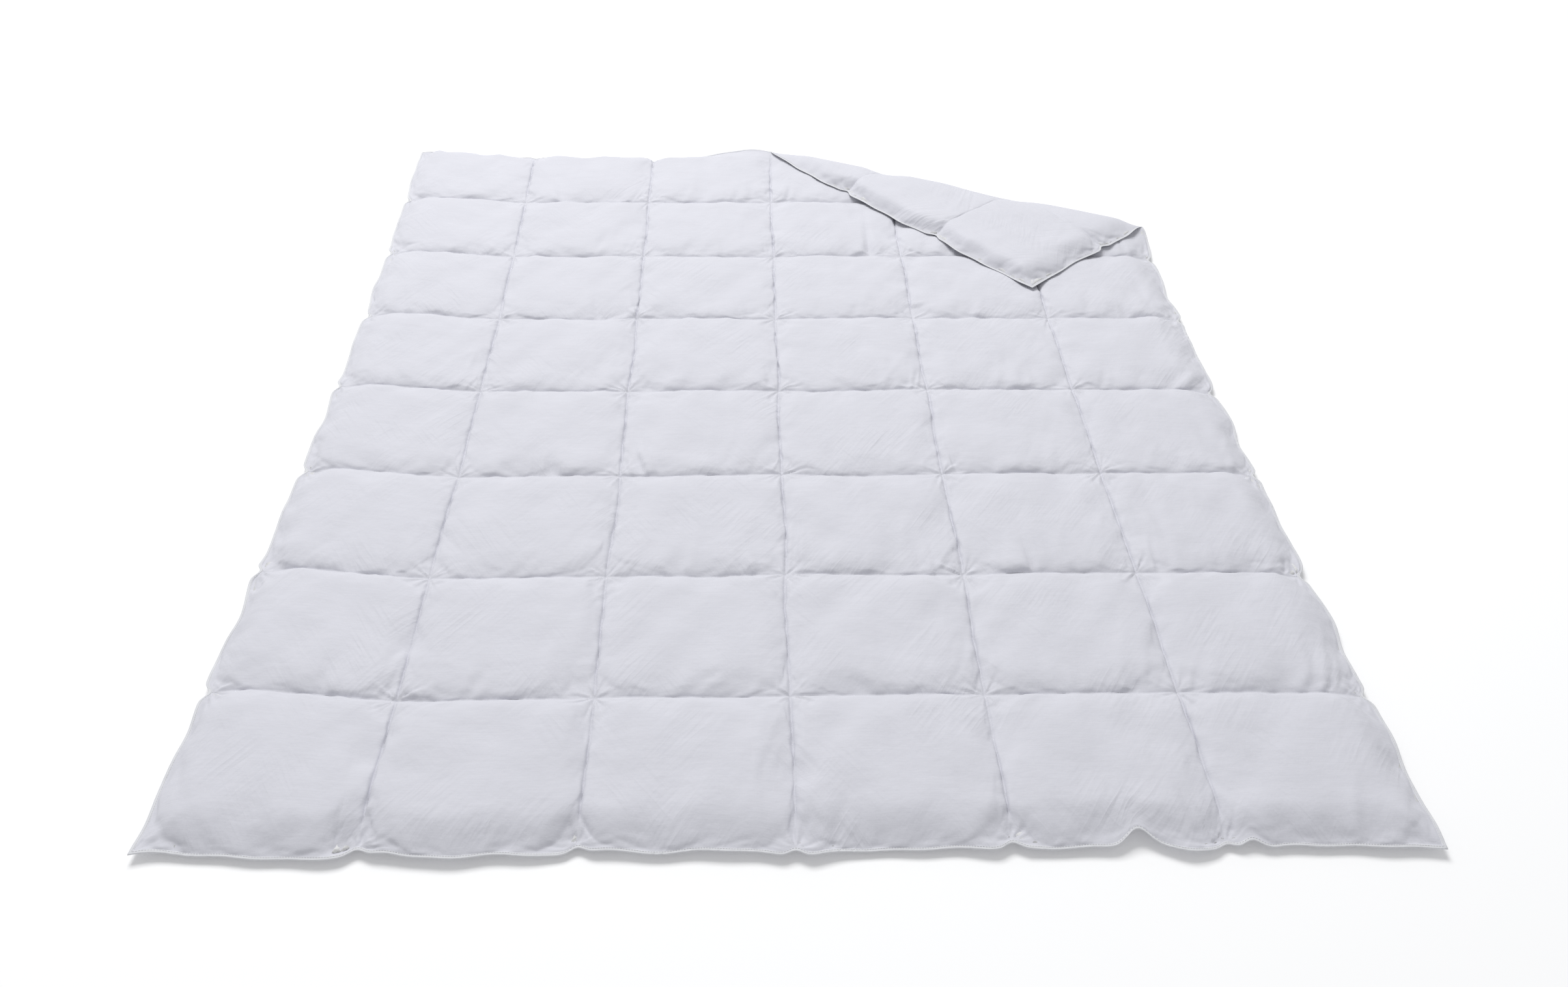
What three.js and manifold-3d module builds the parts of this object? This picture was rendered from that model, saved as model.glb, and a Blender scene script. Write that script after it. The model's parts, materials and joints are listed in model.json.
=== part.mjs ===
// A baffle-box duvet lying flat, with its far right corner turned back over the quilt.
// Millimetres. X runs across the width, Y along the length and Z up.
// The origin is the middle of the underside, on the surface that the duvet lies on.
import * as THREE from 'three';
import { mergeVertices } from 'three/addons/utils/BufferGeometryUtils.js';
import Module from 'manifold-3d';

const wasm = await Module();
wasm.setup();

// Finished size, edge to edge, and the number of sewn boxes each way.
const WIDTH = 2000;
const LENGTH = 2400;
const COLUMNS = 6;
const ROWS = 8;

// Heights above the surface: the flat top of a filled box, the top and the underside of an
// inner seam, and the middle of the edge, where the two faces of the ticking meet.
const CROWN_HEIGHT = 42;
const SEAM_HEIGHT = 21;
const SEAM_LIFT = 5;
const EDGE_HEIGHT = 11;

// The sloping rim between a seam and the flat top of its box.
const RIM_WIDTH = 60;

// Cloth, and the flat welt that binds the four edges.
const TICKING = 0.8;
const BAFFLE = 1;
const WELT_WIDTH = 5;
const WELT_THICKNESS = 3;

// The baffle strips stop this far from the edge. The lengthwise ones stop further from the
// near end, which is left open for filling and closed last.
const BAFFLE_SETBACK = 16;
const FILLING_END_SETBACK = 40;

// The crosswise strips are cut this much narrower, each side, than the lengthwise ones.
const CROSSWISE_INSET = 0.8;

// The turned corner: the fold meets the far end and the right side this far from the corner.
const TURN_ALONG_END = 1030;
const TURN_ALONG_SIDE = 480;

// Clearances: between pieces that touch, at the fold, and between the two layers.
const FIT_GAP = 0.3;
const FOLD_GAP = 0.6;
const LAYER_GAP = 0.3;

// What a fold leaves over in passing isn't a piece of its own: fill under this share of a box,
// or a baffle shorter than this.
const LEAST_FILL = 0.04;
const LEAST_BAFFLE = 60;

const FINISHES = {
  ticking: { color: 0xf1f1f4, roughness: 0.85, metalness: 0 },
  welt: { color: 0xf6f6f8, roughness: 0.8, metalness: 0 },
  baffle: { color: 0xe6e6e2, roughness: 0.9, metalness: 0 },
  fill: { color: 0xd9d5cc, roughness: 1, metalness: 0 },
};

// The quilt is what lies inside the welt.
const quiltWidth = WIDTH - 2 * (WELT_WIDTH + FIT_GAP);
const quiltLength = LENGTH - 2 * (WELT_WIDTH + FIT_GAP);
const columnLines = seamLines(COLUMNS, quiltWidth);
const rowLines = seamLines(ROWS, quiltLength);

// Height levels of each cloth surface: at the edge, at an inner seam and on a box.
const topOutside = {
  edge: EDGE_HEIGHT + FIT_GAP / 2 + TICKING,
  seam: SEAM_HEIGHT,
  box: CROWN_HEIGHT,
};
const bottomOutside = {
  edge: EDGE_HEIGHT - FIT_GAP / 2 - TICKING,
  seam: SEAM_LIFT,
  box: 0,
};
const topInside = raised(topOutside, -TICKING);
const bottomInside = raised(bottomOutside, TICKING);

function seamLines(count, span) {
  return Array.from({ length: count + 1 }, (_, i) => span * (i / count - 0.5));
}

function raised(levels, by) {
  return { edge: levels.edge + by, seam: levels.seam + by, box: levels.box + by };
}

// How far a place is from its nearest seam, as a share of the rim, and that seam's own level.
function nearestSeam(place, lines, levels) {
  const gaps = lines.map((line) => Math.abs(place - line));
  const nearest = gaps.indexOf(Math.min(...gaps));
  const outer = nearest === 0 || nearest === lines.length - 1;
  return {
    share: Math.min(1, gaps[nearest] / RIM_WIDTH),
    level: outer ? levels.edge : levels.seam,
    outer,
  };
}

// Height of a quilted surface. Each box is a flat top with four sloping rims that mitre at
// its corners, like a hipped roof.
function quiltHeight(x, y, levels) {
  const column = nearestSeam(x, columnLines, levels);
  const row = nearestSeam(y, rowLines, levels);
  const crossing = column.outer || row.outer ? levels.edge : levels.seam;
  const [near, far] = column.share >= row.share ? [row, column] : [column, row];
  return crossing + far.share * (near.level - crossing) + near.share * (levels.box - near.level);
}

// A closed slab over a grid, between two surfaces. A grid holds three steps for each box, rim,
// top and rim, and its corner cells are split along the mitre.
function slab(xs, ys, lower, upper) {
  const rowLength = ys.length;
  const layer = xs.length * rowLength;
  const positions = [];
  for (const levels of [lower, upper]) {
    for (const x of xs) {
      for (const y of ys) positions.push(x, y, quiltHeight(x, y, levels));
    }
  }
  const faces = [];
  const addQuad = (a, b, c, d) => faces.push(a, b, c, a, c, d);
  const at = (i, j) => i * rowLength + j;
  for (let i = 0; i < xs.length - 1; i += 1) {
    for (let j = 0; j < rowLength - 1; j += 1) {
      const corners = [at(i, j), at(i + 1, j), at(i + 1, j + 1), at(i, j + 1)];
      const mitreFollows = i % 3 === j % 3;
      const [a, b, c, d] = mitreFollows ? corners : [...corners.slice(1), corners[0]];
      addQuad(a + layer, b + layer, c + layer, d + layer);
      addQuad(c, b, a, d);
    }
  }
  const addWall = (from, to) => addQuad(from, to, to + layer, from + layer);
  for (let i = 0; i < xs.length - 1; i += 1) {
    addWall(at(i, 0), at(i + 1, 0));
    addWall(at(i + 1, rowLength - 1), at(i, rowLength - 1));
  }
  for (let j = 0; j < rowLength - 1; j += 1) {
    addWall(at(xs.length - 1, j), at(xs.length - 1, j + 1));
    addWall(at(0, j + 1), at(0, j));
  }
  const geometry = new THREE.BufferGeometry();
  geometry.setAttribute('position', new THREE.Float32BufferAttribute(positions, 3));
  geometry.setIndex(faces);
  return geometry;
}

// Grid places for a run of boxes: each seam, and the start and end of each flat top.
function gridPlaces(lines) {
  const places = [];
  for (let i = 0; i < lines.length - 1; i += 1) {
    places.push(lines[i], lines[i] + RIM_WIDTH, lines[i + 1] - RIM_WIDTH);
  }
  places.push(lines[lines.length - 1]);
  return places;
}

function tickingPanel(lower, upper) {
  return slab(gridPlaces(columnLines), gridPlaces(rowLines), lower, upper);
}

// Grid places for the fill of one box, which stays clear of the baffles or the edge.
function fillPlaces(lines, index) {
  const inset = (line) => {
    const outer = line === 0 || line === lines.length - 1;
    return outer ? WELT_WIDTH : BAFFLE / 2 + FIT_GAP;
  };
  return [
    lines[index] + inset(index),
    lines[index] + RIM_WIDTH,
    lines[index + 1] - RIM_WIDTH,
    lines[index + 1] - inset(index + 1),
  ];
}

function boxFill(row, column) {
  const lower = raised(bottomInside, FIT_GAP);
  const upper = raised(topInside, -FIT_GAP);
  return slab(fillPlaces(columnLines, column), fillPlaces(rowLines, row), lower, upper);
}

// A baffle strip's side view: full height between the seams, tapering where the faces close.
function baffleOutline(halfSpan, startSetback, endSetback, clearance) {
  const start = -halfSpan + startSetback;
  const end = halfSpan - endSetback;
  const taper = (levels, place) => {
    const share = Math.min(1, (halfSpan - Math.abs(place)) / RIM_WIDTH);
    return levels.edge + share * (levels.seam - levels.edge);
  };
  const stops = [start, -halfSpan + RIM_WIDTH, halfSpan - RIM_WIDTH, end];
  const under = stops.map((place) => [place, taper(bottomInside, place) + clearance]);
  const over = stops.map((place) => [place, taper(topInside, place) - clearance]);
  return new THREE.Shape([...under, ...over.reverse()].map(([x, z]) => new THREE.Vector2(x, z)));
}

// A strip standing on edge. turn 0 runs it along X, and a quarter turn along Y.
function baffleStrip(outline, turn, offset) {
  const strip = new THREE.ExtrudeGeometry(outline, { depth: BAFFLE, bevelEnabled: false });
  strip.translate(0, 0, -BAFFLE / 2);
  strip.rotateX(Math.PI / 2);
  strip.rotateZ(turn);
  strip.translate(offset.x, offset.y, 0);
  return strip;
}

function baffleGrid() {
  const narrower = FIT_GAP + CROSSWISE_INSET;
  const crosswise = baffleOutline(quiltWidth / 2, BAFFLE_SETBACK, BAFFLE_SETBACK, narrower);
  const lengthwise = baffleOutline(
    quiltLength / 2,
    FILLING_END_SETBACK,
    BAFFLE_SETBACK,
    FIT_GAP,
  );
  const strips = [
    ...rowLines.slice(1, -1).map((y) => baffleStrip(crosswise, 0, { x: 0, y })),
    ...columnLines.slice(1, -1).map((x) => baffleStrip(lengthwise, Math.PI / 2, { x, y: 0 })),
  ];
  return strips.map(toSolid).reduce((grid, strip) => grid.add(strip));
}

// The welt is one flat band round the quilt.
function edgeWelt() {
  const rectangle = (width, length) => [
    new THREE.Vector2(-width / 2, -length / 2),
    new THREE.Vector2(width / 2, -length / 2),
    new THREE.Vector2(width / 2, length / 2),
    new THREE.Vector2(-width / 2, length / 2),
  ];
  const band = new THREE.Shape(rectangle(WIDTH, LENGTH));
  const inner = rectangle(WIDTH - 2 * WELT_WIDTH, LENGTH - 2 * WELT_WIDTH);
  band.holes.push(new THREE.Path(inner));
  const welt = new THREE.ExtrudeGeometry(band, { depth: WELT_THICKNESS, bevelEnabled: false });
  welt.translate(0, 0, EDGE_HEIGHT - WELT_THICKNESS / 2);
  return welt;
}

// Solids are joined and cut as manifolds, and go back to geometry at the end.
function toSolid(geometry) {
  const bare = new THREE.BufferGeometry();
  bare.setAttribute('position', geometry.getAttribute('position'));
  bare.setIndex(geometry.index);
  const welded = mergeVertices(bare);
  return new wasm.Manifold(new wasm.Mesh({
    numProp: 3,
    vertProperties: welded.getAttribute('position').array,
    triVerts: new Uint32Array(welded.index.array),
  }));
}

function toGeometry(solid) {
  const { vertProperties, triVerts } = solid.getMesh();
  const geometry = new THREE.BufferGeometry();
  geometry.setAttribute('position', new THREE.BufferAttribute(vertProperties, 3));
  geometry.setIndex(new THREE.BufferAttribute(triVerts, 1));
  return geometry;
}

// The fold line, at the level where the turned layer meets the one under it.
const foldStart = new THREE.Vector3(
  WIDTH / 2 - TURN_ALONG_END,
  LENGTH / 2,
  CROWN_HEIGHT + LAYER_GAP / 2,
);
const foldEnd = new THREE.Vector3(WIDTH / 2, LENGTH / 2 - TURN_ALONG_SIDE, foldStart.z);
const foldDirection = foldEnd.clone().sub(foldStart).normalize();

// All that lies on one side of the fold: 1 is the corner's side, and -1 is the quilt's.
function sideOfFold(side) {
  const reach = 2 * (WIDTH + LENGTH);
  const block = new THREE.BoxGeometry(reach, reach, reach);
  block.translate(0, (side * (reach + FOLD_GAP)) / 2, 0);
  block.rotateZ(Math.atan2(foldDirection.y, foldDirection.x));
  block.translate(foldStart.x, foldStart.y, 0);
  return toSolid(block);
}

const quiltSide = sideOfFold(-1);
const cornerSide = sideOfFold(1);

const duvet = new THREE.Group();

// The corner's pieces are made where they lie when the duvet is spread flat, and the hinge
// group turns them half a turn about the fold line.
const hinge = new THREE.Group();
hinge.position.copy(foldStart);
hinge.quaternion.setFromAxisAngle(foldDirection, Math.PI);
const corner = new THREE.Group();
corner.position.copy(foldStart).negate();
hinge.add(corner);
duvet.add(hinge);

function place(group, name, solid, finish) {
  const mesh = new THREE.Mesh(toGeometry(solid), new THREE.MeshStandardMaterial(finish));
  mesh.name = name;
  group.add(mesh);
}

// Cuts a piece at the fold and adds what is left on each side, if it's more than a sliver.
function placeBothSides(name, solid, finish, least = 0) {
  const sides = [
    [duvet, name, solid.intersect(quiltSide)],
    [corner, `corner_${name}`, solid.intersect(cornerSide)],
  ];
  for (const [group, fullName, piece] of sides) {
    const lumps = piece.decompose().filter((lump) => lump.volume() > least);
    lumps.sort((a, b) => b.volume() - a.volume());
    lumps.forEach((lump, i) => {
      place(group, lumps.length > 1 ? `${fullName}_${i + 1}` : fullName, lump, finish);
    });
  }
}

const bottomPanel = toSolid(tickingPanel(bottomOutside, bottomInside));
const topPanel = toSolid(tickingPanel(topInside, topOutside));
placeBothSides('bottom_ticking', bottomPanel, FINISHES.ticking);
placeBothSides('top_ticking', topPanel, FINISHES.ticking);
placeBothSides('edge_welt', toSolid(edgeWelt()), FINISHES.welt);
const leastBaffle = LEAST_BAFFLE * BAFFLE * (SEAM_HEIGHT - SEAM_LIFT - 2 * TICKING);
placeBothSides('baffle_grid', baffleGrid(), FINISHES.baffle, leastBaffle);

for (let row = 0; row < ROWS; row += 1) {
  for (let column = 0; column < COLUMNS; column += 1) {
    const fill = toSolid(boxFill(row, column));
    const name = `fill_row${row + 1}_col${column + 1}`;
    placeBothSides(name, fill, FINISHES.fill, LEAST_FILL * fill.volume());
  }
}

export default duvet;
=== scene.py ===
"""A baffle-box duvet laid flat, with its far right corner turned back over the quilt.

The script follows the duvet as it is made up: the cloth is cut and quilted, the baffles and the
fill go in, the edge is bound, the seams are stitched, and the corner is folded over.
Metres. X is across the width, Y is along the length and Z is up.
"""
import json
import math

import bmesh
import bpy
import numpy as np
from mathutils import Matrix, Vector


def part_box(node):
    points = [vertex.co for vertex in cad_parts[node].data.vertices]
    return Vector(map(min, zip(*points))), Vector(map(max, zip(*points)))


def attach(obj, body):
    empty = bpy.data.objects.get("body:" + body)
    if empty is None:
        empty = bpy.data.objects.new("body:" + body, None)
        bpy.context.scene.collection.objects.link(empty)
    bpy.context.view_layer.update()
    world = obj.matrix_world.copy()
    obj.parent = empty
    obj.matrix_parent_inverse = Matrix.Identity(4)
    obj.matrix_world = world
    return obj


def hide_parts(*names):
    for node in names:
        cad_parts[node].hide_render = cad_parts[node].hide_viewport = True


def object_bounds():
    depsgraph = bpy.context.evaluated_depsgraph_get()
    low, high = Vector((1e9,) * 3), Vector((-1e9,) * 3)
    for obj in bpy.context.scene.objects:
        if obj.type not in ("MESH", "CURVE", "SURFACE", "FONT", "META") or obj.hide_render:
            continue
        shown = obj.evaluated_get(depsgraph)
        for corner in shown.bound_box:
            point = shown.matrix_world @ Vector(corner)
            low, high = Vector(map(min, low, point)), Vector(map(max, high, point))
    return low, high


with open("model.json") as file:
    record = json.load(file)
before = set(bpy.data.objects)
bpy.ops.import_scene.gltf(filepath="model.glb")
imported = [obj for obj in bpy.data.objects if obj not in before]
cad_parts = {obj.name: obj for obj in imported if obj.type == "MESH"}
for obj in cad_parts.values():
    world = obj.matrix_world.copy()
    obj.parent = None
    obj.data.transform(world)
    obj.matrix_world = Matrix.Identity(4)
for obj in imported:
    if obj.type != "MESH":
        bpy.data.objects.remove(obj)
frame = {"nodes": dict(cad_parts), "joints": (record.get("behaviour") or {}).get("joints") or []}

cad_box = [list(corner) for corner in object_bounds()]
scene = bpy.context.scene

# --- Ticking --------------------------------------------------------------------------------
# Two sheets of downproof cotton batiste, cut a little full and sewn together box by box, so
# that each box puffs up between its seams and the cloth puckers where the stitches gather it.

LOW, HIGH = (np.array(corner) for corner in cad_box)
WIDTH, LENGTH = HIGH[0] - LOW[0], HIGH[1] - LOW[1]
COLUMNS, ROWS = 6, 8

# Heights over the surface that the duvet lies on, from the CAD solids.
BOX_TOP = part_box("top_ticking")[1].z
EDGE_Z = (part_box("edge_welt")[0].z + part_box("edge_welt")[1].z) / 2
SEAM_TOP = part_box("baffle_grid")[1].z + 0.001
SEAM_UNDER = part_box("baffle_grid")[0].z - 0.001
WELT_WIDTH = (WIDTH - (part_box("top_ticking")[1].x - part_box("top_ticking")[0].x)) / 2

QUILT_X, QUILT_Y = WIDTH / 2 - WELT_WIDTH, LENGTH / 2 - WELT_WIDTH
BOX_X, BOX_Y = 2 * QUILT_X / COLUMNS, 2 * QUILT_Y / ROWS
STEPS_X, STEPS_Y = 32, 28

# The joint's axis is the fold. ALONG runs down it, and OUTWARD points across it to the corner.
fold = frame["joints"][0]
FOLD_POINT = np.array(fold["pos_m"])
ALONG = -np.array(fold["axis"])
OUTWARD = np.array([-ALONG[1], ALONG[0], 0.0])


def smooth(t):
    t = np.clip(t, 0, 1)
    return t * t * (3 - 2 * t)


def waves(place, seed, count, shortest, longest):
    """Gentle seeded waves along a line: a sum of sines of unlike lengths, about 1 high."""
    draw = np.random.default_rng(seed)
    lengths = draw.uniform(shortest, longest, count)
    phases = draw.uniform(0, 2 * math.pi, count)
    total = sum(np.sin(2 * math.pi * place / l + p) for l, p in zip(lengths, phases))
    return total / math.sqrt(count)


def grid_faces(nx, ny):
    index = np.arange(nx * ny).reshape(nx, ny)
    corners = [index[:-1, :-1], index[1:, :-1], index[1:, 1:], index[:-1, 1:]]
    return np.stack(corners, -1).reshape(-1, 4)


def new_mesh(name, points, faces):
    """A smooth-shaded mesh object from an array of points and an array of like-sized faces."""
    mesh = bpy.data.meshes.new(name)
    sides = faces.shape[1]
    mesh.vertices.add(len(points))
    mesh.vertices.foreach_set("co", np.asarray(points, np.float32).ravel())
    mesh.loops.add(faces.size)
    mesh.loops.foreach_set("vertex_index", faces.astype(np.int32).ravel())
    mesh.polygons.add(len(faces))
    mesh.polygons.foreach_set("loop_start", np.arange(0, faces.size, sides, dtype=np.int32))
    mesh.update()
    mesh.shade_smooth()
    piece = bpy.data.objects.new(name, mesh)
    scene.collection.objects.link(piece)
    return piece


def points_of(piece):
    points = np.empty(len(piece.data.vertices) * 3, np.float32)
    piece.data.vertices.foreach_get("co", points)
    return points.reshape(-1, 3).astype(float)


def set_points(piece, points):
    piece.data.vertices.foreach_set("co", np.asarray(points, np.float32).ravel())
    piece.data.update()


def from_seam(place, half, box):
    return np.abs((place + half + box / 2) % box - box / 2)


# How much closer together the cloth's points lie beside a seam: 0 is evenly spaced.
CROWDING = 0.6


def seam_spaced(count, steps, box):
    """Places across the boxes, on every seam and between, closer together beside the seams."""
    share = np.arange(count * steps + 1) / steps
    return box * (share - CROWDING * np.sin(2 * math.pi * share) / (2 * math.pi) - count / 2)


# The flat cloth, with a line of points on every seam.
nx, ny = COLUMNS * STEPS_X + 1, ROWS * STEPS_Y + 1
xs, ys = seam_spaced(COLUMNS, STEPS_X, BOX_X), seam_spaced(ROWS, STEPS_Y, BOX_Y)
flat_x, flat_y = np.meshgrid(xs, ys, indexing="ij")
across, along = from_seam(flat_x, QUILT_X, BOX_X), from_seam(flat_y, QUILT_Y, BOX_Y)
lengthwise_seams = (np.arange(nx) % STEPS_X == 0)[:, None]
sewn = lengthwise_seams | (np.arange(ny) % STEPS_Y == 0)[None, :]

# The lengthwise seams stop short of the near end, where the duvet was filled and closed.
FILLING_GAP = 0.04
open_end = (flat_y < -QUILT_Y + FILLING_GAP) & (flat_y > -QUILT_Y + 0.001)
sewn &= ~(open_end & lengthwise_seams & (np.abs(flat_x) < QUILT_X - 0.01))

# The start of the simulation is a low pillow in each box, rising over PUFF_REACH from its seams.
PUFF, PUFF_REACH, UNEVEN_START = 0.026, 0.06, 0.0006
# The share by which the cloth is cut fuller than its seams, and how long it is left to settle.
FULLNESS, FRAMES = 0.045, 12


def quilted_cloth():
    """The cloth's shape over the seams, as an array of points: it puffs up by cloth simulation."""
    draw = np.random.default_rng(20)
    risen = np.minimum(across / PUFF_REACH, 1) * np.minimum(along / PUFF_REACH, 1)
    start = PUFF * np.sin(math.pi / 2 * risen)
    start += draw.normal(0, UNEVEN_START, start.shape)
    start[sewn] = 0
    flat_points = np.stack([flat_x, flat_y, start], -1).reshape(-1, 3)
    cloth = new_mesh("quilting", flat_points, grid_faces(nx, ny))
    seams = cloth.vertex_groups.new(name="seams")
    seams.add(np.nonzero(sewn.ravel())[0].tolist(), 1.0, "REPLACE")
    modifier = cloth.modifiers.new("quilting", "CLOTH")
    set_up = modifier.settings
    set_up.vertex_group_mass = "seams"
    set_up.quality = 4
    set_up.mass = 0.15
    set_up.air_damping = 2
    set_up.tension_stiffness = 15
    set_up.compression_stiffness = 15
    set_up.shear_stiffness = 5
    set_up.bending_stiffness = 0.25
    set_up.use_pressure = True
    set_up.uniform_pressure_force = 1.5
    set_up.shrink_min = -FULLNESS
    set_up.effector_weights.gravity = 0
    modifier.collision_settings.use_collision = False
    modifier.collision_settings.use_self_collision = False
    for step in range(1, FRAMES + 1):
        scene.frame_set(step)
    shaped = cloth.evaluated_get(bpy.context.evaluated_depsgraph_get())
    points = np.empty(nx * ny * 3, np.float32)
    shaped.data.vertices.foreach_get("co", points)
    scene.frame_set(1)
    bpy.data.objects.remove(cloth)
    return points.reshape(nx, ny, 3).astype(float)


puffed = quilted_cloth()


def finer(points, fixed):
    """The same cloth with a point more in each step: seams stay put and the rest is rounded."""
    rounded = points.copy()
    held = fixed[1:-1].reshape(fixed[1:-1].shape + (1,) * (points.ndim - fixed.ndim))
    rounded[1:-1] = np.where(held, points[1:-1], (points[:-2] + 6 * points[1:-1] + points[2:]) / 8)
    rows = np.empty((2 * len(points) - 1,) + points.shape[1:])
    rows[0::2], rows[1::2] = rounded, (points[1:] + points[:-1]) / 2
    return rows


def finer_seams(fixed):
    rows = np.zeros((2 * len(fixed) - 1, fixed.shape[1]), bool)
    rows[0::2], rows[1::2] = fixed, fixed[1:] & fixed[:-1]
    return rows


xs = finer(xs[:, None], np.ones((nx, 1), bool))[:, 0]
ys = finer(ys[:, None], np.ones((ny, 1), bool))[:, 0]
puffed, sewn_rows = finer(puffed, sewn), finer_seams(sewn)
puffed = finer(puffed.transpose(1, 0, 2), sewn_rows.T).transpose(1, 0, 2)
nx, ny = puffed.shape[:2]
flat_x, flat_y = np.meshgrid(xs, ys, indexing="ij")
drift_x, drift_y, puff = puffed[..., 0] - flat_x, puffed[..., 1] - flat_y, puffed[..., 2]


def uneven(place, seed, spacing, span):
    """A seeded line of rounded bumps and hollows about 1 high, unevenly spaced."""
    draw = np.random.default_rng(seed)
    stops = np.arange(-2 * spacing, span + 3 * spacing, spacing)
    heights = draw.normal(0, 1, len(stops))
    stops = stops + draw.uniform(-0.3, 0.3, len(stops)) * spacing
    left = np.clip(np.searchsorted(stops, place) - 1, 0, len(stops) - 2)
    share = smooth((place - stops[left]) / (stops[left + 1] - stops[left]))
    return heights[left] + share * (heights[left + 1] - heights[left])


# Puckers lean and run out unevenly, and stand up a little way in from their seam.
PUCKER_LEAN, PUCKER_VARIES, PUCKER_RISE = 0.35, 0.35, 0.011


def pucker(place, depth, seed, span, spacing, reach):
    """Puckers that start at a seam, place along it and depth away from it, and run out."""
    draw = np.random.default_rng(seed)
    slant = PUCKER_LEAN * uneven(place, seed + 1, 0.07, span)
    runs = reach * np.exp(PUCKER_VARIES * uneven(place, seed + 2, spacing, span))
    gathered = np.clip(0.75 + 0.5 * uneven(place, seed + 3, 0.06, span), 0.15, 2)
    across_seam = place + slant * depth + draw.uniform(0, spacing)
    ridge = 0.6 * uneven(across_seam, seed + 4, spacing, span)
    ridge += 0.7 - 0.9 * np.abs(uneven(across_seam, seed + 5, 0.8 * spacing, span))
    risen = 1 - np.exp(-depth / PUCKER_RISE)
    return gathered * ridge * risen * np.exp(-((depth / runs) ** 1.3))


CREASE_BEND = 0.9


def crease(x, y, middle, angle, long, wide):
    """A soft slanting crease across a box: 1 high in its middle, running out at its ends."""
    run = (x - middle[0]) * math.cos(angle) + (y - middle[1]) * math.sin(angle)
    off = (y - middle[1]) * math.cos(angle) - (x - middle[0]) * math.sin(angle)
    off = off + CREASE_BEND * run * run
    return np.exp(-((run / long) ** 2)) * np.exp(-((off / wide) ** 2))


# Each box gets its own puckers, fuller along the crosswise seams, and a few long creases.
PUCKER_CROSSWISE, PUCKER_LENGTHWISE = 0.0034, 0.0014
CROSSWISE_SPACING, LENGTHWISE_SPACING = 0.021, 0.016
# Where two seams cross, the cloth is gathered both ways, so small puckers fan out from there.
FAN_HEIGHT, FAN_START, FAN_REACH, FAN_SPACING = 0.0016, 0.006, 0.045, 0.16
CREASES = 6
FILL_VARIES = 0.05
relief = np.zeros_like(flat_x)
unevenness = np.ones_like(flat_x)
for column in range(COLUMNS):
    for row in range(ROWS):
        box = np.s_[
            2 * STEPS_X * column: 2 * STEPS_X * (column + 1) + 1,
            2 * STEPS_Y * row: 2 * STEPS_Y * (row + 1) + 1,
        ]
        x = flat_x[box] - flat_x[box][0, 0]
        y = flat_y[box] - flat_y[box][0, 0]
        seed = 1000 * (1 + row) + 100 * column
        draw = np.random.default_rng(seed)
        own = PUCKER_CROSSWISE * pucker(x, y, seed + 10, BOX_X, CROSSWISE_SPACING, 0.050)
        far_side = pucker(x, BOX_Y - y, seed + 20, BOX_X, CROSSWISE_SPACING, 0.030)
        own += 0.5 * PUCKER_CROSSWISE * far_side
        own += PUCKER_LENGTHWISE * pucker(y, x, seed + 30, BOX_Y, LENGTHWISE_SPACING, 0.016)
        own += PUCKER_LENGTHWISE * pucker(y, BOX_X - x, seed + 40, BOX_Y, LENGTHWISE_SPACING, 0.016)
        crossings = (50, 0, 0), (52, BOX_X, 0), (51, 0, BOX_Y), (53, BOX_X, BOX_Y)
        for own_seed, corner_x, corner_y in crossings:
            away = np.hypot(x - corner_x, y - corner_y)
            turn = np.arctan2(np.abs(y - corner_y), np.abs(x - corner_x))
            fan = FAN_HEIGHT * uneven(turn, seed + own_seed, FAN_SPACING, 1.6)
            own += fan * (1 - np.exp(-away / FAN_START)) * np.exp(-((away / FAN_REACH) ** 2))
        for _ in range(CREASES):
            middle = draw.uniform(0.1, 0.9) * BOX_X, draw.uniform(0.1, 0.6) * BOX_Y
            angle = math.pi / 2 + 1.1 * (0.5 - middle[0] / BOX_X) + draw.normal(0, 0.2)
            size = draw.uniform(0.0006, 0.0018)
            long, wide = draw.uniform(0.04, 0.10), draw.uniform(0.005, 0.010)
            own += size * crease(x, y, middle, angle, long, wide)
        seamed = np.minimum.reduce([x, BOX_X - x, y, BOX_Y - y])
        relief[box] = own * np.clip(seamed / 0.003, 0, 1)
        lumpy = uneven(x, seed + 60, 0.11, BOX_X) * uneven(y, seed + 61, 0.10, BOX_Y)
        unevenness[box] = 1 + FILL_VARIES * draw.normal() + FILL_VARIES * lumpy * smooth(seamed / 0.05)

# The far end stands up plump close to its edge, where the near end slopes down to it.
FAR_STEEPNESS = 1.9


def to_edge(x, y):
    """How far in from the edge a place lies, counted for more where the edge is steeper."""
    in_from_end = np.where(y > 0, FAR_STEEPNESS * (QUILT_Y - y), QUILT_Y + y)
    return np.minimum(QUILT_X - np.abs(x), in_from_end)


def past_fold(x, y):
    return (x - FOLD_POINT[0]) * OUTWARD[0] + (y - FOLD_POINT[1]) * OUTWARD[1]


# The turned corner hangs from its fold, so its edges sink towards the quilt underneath.
DROOP, HANG_REACH = 0.029, 0.07
RIM_LIFT, RIM_REACH = 0.0022, 0.095

# The near end is rumpled: here and there it is pushed in, and stands up a little. Each kink is
# its place across the duvet, its width, how far it is pushed in and how high it stands.
RUMPLED_REACH = 0.10
KINKS = [(0.525, 0.024, 0.023, 0.013), (0.60, 0.035, -0.008, 0.003), (-0.30, 0.040, 0.007, 0.004)]
KINKS += [(0.02, 0.05, -0.010, 0.001), (0.70, 0.020, 0.015, 0.008), (-0.62, 0.03, 0.006, 0.005)]


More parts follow.
